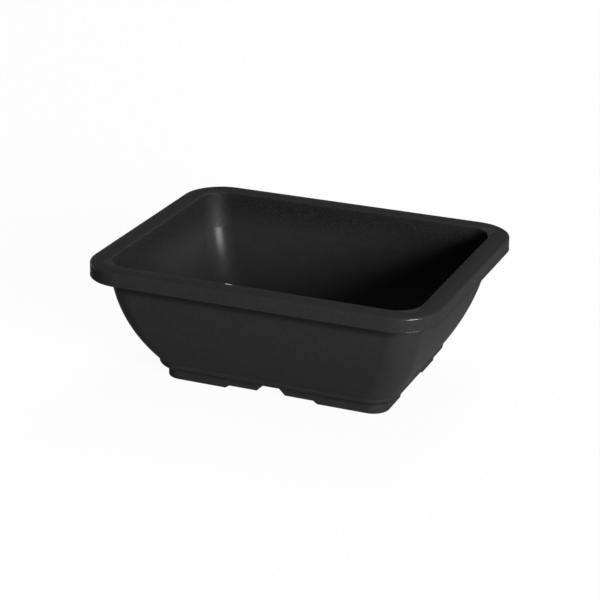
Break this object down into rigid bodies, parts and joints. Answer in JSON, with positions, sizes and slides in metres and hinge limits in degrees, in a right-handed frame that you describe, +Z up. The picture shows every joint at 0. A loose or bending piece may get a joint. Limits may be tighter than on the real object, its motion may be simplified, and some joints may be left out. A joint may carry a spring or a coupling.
{
  "type": "plant pot",
  "caption": "Low rectangular plastic plant pot with a wide turned-down rim, curved walls, a rounded plinth and a notched foot ring, with mesh screens clipped over its drain holes.",
  "frame": {"origin": "on the ground under the middle of the pot", "axes": "+X along the long side, +Y to the back, +Z up"},
  "size_m": [0.25, 0.2, 0.09],
  "materials": {
    "pot_plastic": "satin, finely grained",
    "screen_plastic": "matte",
    "clip_wire": "satin"
  },
  "bodies": {
    "root": {"pot_body": "pot_plastic", "drain_screen_left": "screen_plastic", "drain_screen_right": "screen_plastic", "screen_clip_left": "clip_wire", "screen_clip_right": "clip_wire"}
  },
  "joints": []
}
